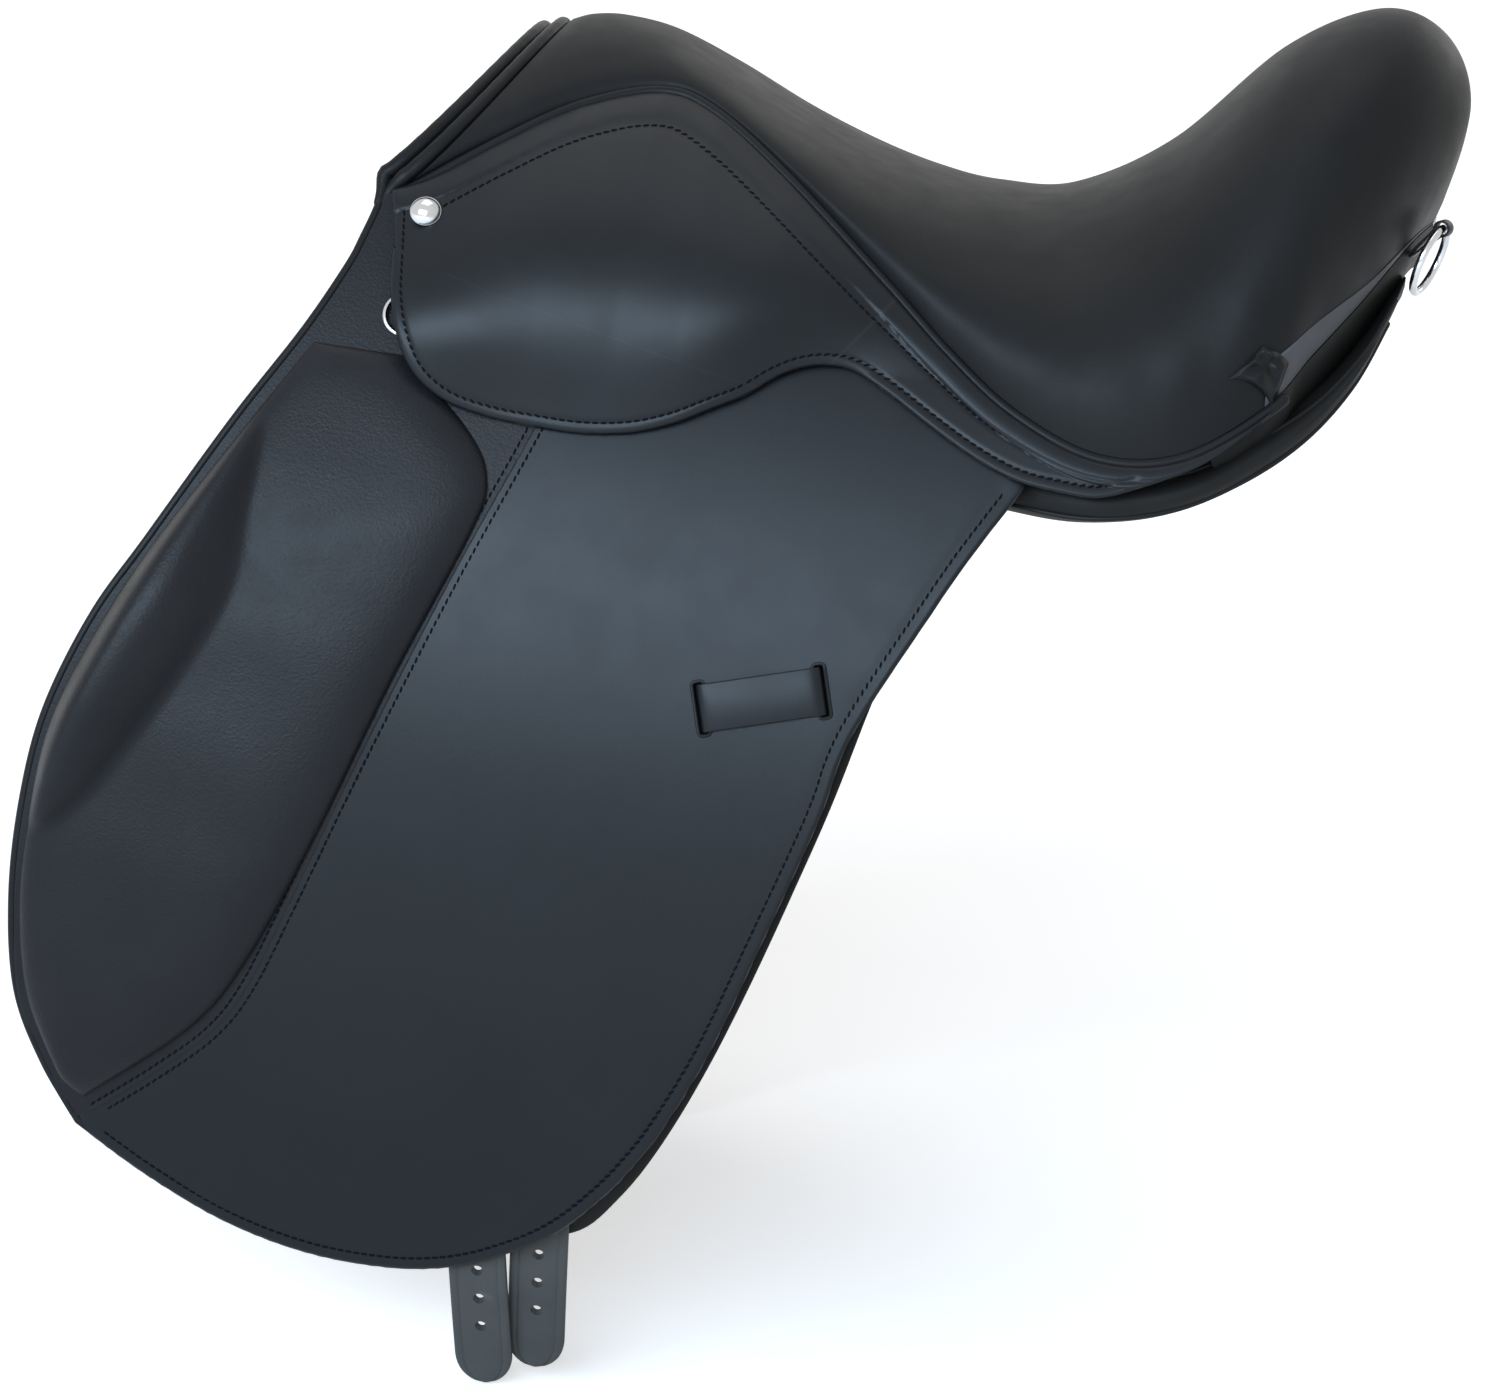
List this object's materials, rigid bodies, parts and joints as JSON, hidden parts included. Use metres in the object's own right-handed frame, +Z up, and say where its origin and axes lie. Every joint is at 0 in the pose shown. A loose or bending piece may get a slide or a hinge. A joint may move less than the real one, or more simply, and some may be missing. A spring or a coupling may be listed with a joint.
{
  "type": "dressage saddle",
  "caption": "Black leather dressage saddle with a deep seat, long straight flaps, knee blocks, long girth straps, stuffed panels and a sprung tree.",
  "frame": {"origin": "on the midline, on the plane where the panels bear on the horse, under the seat's lowest point", "axes": "+X to the cantle, +Z up, and the near side, which the rider mounts from, at -Y"},
  "size_m": [0.5592, 0.448, 0.6246],
  "materials": {
    "seat_leather": "soft matte black calfskin",
    "rolled_leather": "black rolled and stitched leather",
    "facing_leather": "grey-black worn strip",
    "smooth_leather": "black bridle leather with a low sheen",
    "grained_leather": "black pebble-grained leather",
    "panel_leather": "soft black lining leather",
    "strap_leather": "black-brown strap leather with raw edges",
    "foam": "open foam",
    "webbing": "woven web",
    "wood": "laminated beech",
    "steel": "forged steel",
    "rivets": "brass",
    "bright_metal": "polished"
  },
  "bodies": {
    "saddle": {"seat_cover": "seat_leather", "cantle_tab_left": "seat_leather", "cantle_tab_right": "seat_leather", "pommel_facing": "seat_leather", "seat_welt_left": "rolled_leather", "seat_welt_right": "rolled_leather", "pommel_bead_front": "rolled_leather", "pommel_bead_rear": "rolled_leather", "cantle_facing": "facing_leather", "skirt_left": "smooth_leather", "skirt_right": "smooth_leather", "flap_head_left": "smooth_leather", "flap_head_right": "smooth_leather", "rear_chapes": "smooth_leather", "panel_left": "panel_leather", "panel_right": "panel_leather", "gullet_lining": "panel_leather", "sweat_flap_left": "panel_leather", "sweat_flap_right": "panel_leather", "seat_foam": "foam", "seat_web": "webbing", "girth_webs_left": "webbing", "girth_webs_right": "webbing", "head_arch": "wood", "seat_pan": "wood", "tree_side_left": "wood", "tree_side_right": "wood", "gullet_plate": "steel", "tree_springs": "steel", "stirrup_bar_left": "steel", "stirrup_bar_right": "steel", "bar_pins": "steel", "bar_rivets": "rivets", "saddle_nails": "bright_metal"},
    "flap_left": {"flap_left": "smooth_leather", "flap_binding_left": "rolled_leather", "knee_pad_left": "grained_leather", "knee_block_left": "grained_leather", "keeper_left": "smooth_leather", "front_chape_left": "smooth_leather"},
    "skirt_lobe_left": {"skirt_lobe_left": "smooth_leather"},
    "front_billet_left": {"front_billet_left": "strap_leather"},
    "rear_billet_left": {"rear_billet_left": "strap_leather"},
    "front_ring_left": {"front_ring_left": "bright_metal"},
    "rear_ring_left": {"rear_ring_left": "bright_metal"},
    "bar_catch_left": {"bar_catch_left": "steel"},
    "flap_right": {"flap_right": "smooth_leather", "flap_binding_right": "rolled_leather", "knee_pad_right": "grained_leather", "knee_block_right": "grained_leather", "keeper_right": "smooth_leather", "front_chape_right": "smooth_leather"},
    "skirt_lobe_right": {"skirt_lobe_right": "smooth_leather"},
    "front_billet_right": {"front_billet_right": "strap_leather"},
    "rear_billet_right": {"rear_billet_right": "strap_leather"},
    "front_ring_right": {"front_ring_right": "bright_metal"},
    "rear_ring_right": {"rear_ring_right": "bright_metal"},
    "bar_catch_right": {"bar_catch_right": "steel"}
  },
  "joints": [
    {"name": "flap_lift_left", "type": "hinge", "parent": "saddle", "child": "flap_left", "pos_m": [-0.277, -0.126, 0.079], "axis": [-0.9739, 0.1041, 0.2015], "range_deg": [0, 75]},
    {"name": "skirt_lift_left", "type": "hinge", "parent": "flap_left", "child": "skirt_lobe_left", "pos_m": [-0.277, -0.126, 0.079], "axis": [-0.9739, 0.1041, 0.2015], "range_deg": [0, 45]},
    {"name": "front_billet_swing_left", "type": "hinge", "parent": "saddle", "child": "front_billet_left", "pos_m": [-0.221, -0.1374, 0.022], "axis": [0, 1, 0], "range_deg": [-3, 3]},
    {"name": "rear_billet_swing_left", "type": "hinge", "parent": "saddle", "child": "rear_billet_left", "pos_m": [-0.165, -0.1311, 0.022], "axis": [0, 1, 0], "range_deg": [-3, 3]},
    {"name": "front_ring_turn_left", "type": "hinge", "parent": "flap_left", "child": "front_ring_left", "pos_m": [-0.252, -0.13344, 0.04975], "axis": [0, -0.8863, 0.4631], "range_deg": [-170, 170]},
    {"name": "rear_ring_swing_left", "type": "hinge", "parent": "saddle", "child": "rear_ring_left", "pos_m": [0.17137, -0.04922, 0.13723], "axis": [-0.3584, -0.9336, 0], "range_deg": [0, 140]},
    {"name": "bar_catch_lift_left", "type": "hinge", "parent": "saddle", "child": "bar_catch_left", "pos_m": [-0.12475, -0.12416, 0.06639], "axis": [0, -0.8626, 0.5059], "range_deg": [0, 70]},
    {"name": "flap_lift_right", "type": "hinge", "parent": "saddle", "child": "flap_right", "pos_m": [-0.277, 0.126, 0.079], "axis": [0.9739, 0.1041, -0.2015], "range_deg": [0, 75]},
    {"name": "skirt_lift_right", "type": "hinge", "parent": "flap_right", "child": "skirt_lobe_right", "pos_m": [-0.277, 0.126, 0.079], "axis": [0.9739, 0.1041, -0.2015], "range_deg": [0, 45]},
    {"name": "front_billet_swing_right", "type": "hinge", "parent": "saddle", "child": "front_billet_right", "pos_m": [-0.221, 0.1374, 0.022], "axis": [0, 1, 0], "range_deg": [-3, 3]},
    {"name": "rear_billet_swing_right", "type": "hinge", "parent": "saddle", "child": "rear_billet_right", "pos_m": [-0.165, 0.1311, 0.022], "axis": [0, 1, 0], "range_deg": [-3, 3]},
    {"name": "front_ring_turn_right", "type": "hinge", "parent": "flap_right", "child": "front_ring_right", "pos_m": [-0.252, 0.13344, 0.04975], "axis": [0, 0.8863, 0.4631], "range_deg": [-170, 170]},
    {"name": "rear_ring_swing_right", "type": "hinge", "parent": "saddle", "child": "rear_ring_right", "pos_m": [0.17137, 0.04922, 0.13723], "axis": [0.3584, -0.9336, 0], "range_deg": [0, 140]},
    {"name": "bar_catch_lift_right", "type": "hinge", "parent": "saddle", "child": "bar_catch_right", "pos_m": [-0.12475, 0.12416, 0.06639], "axis": [0, -0.8626, -0.5059], "range_deg": [0, 70]}
  ]
}
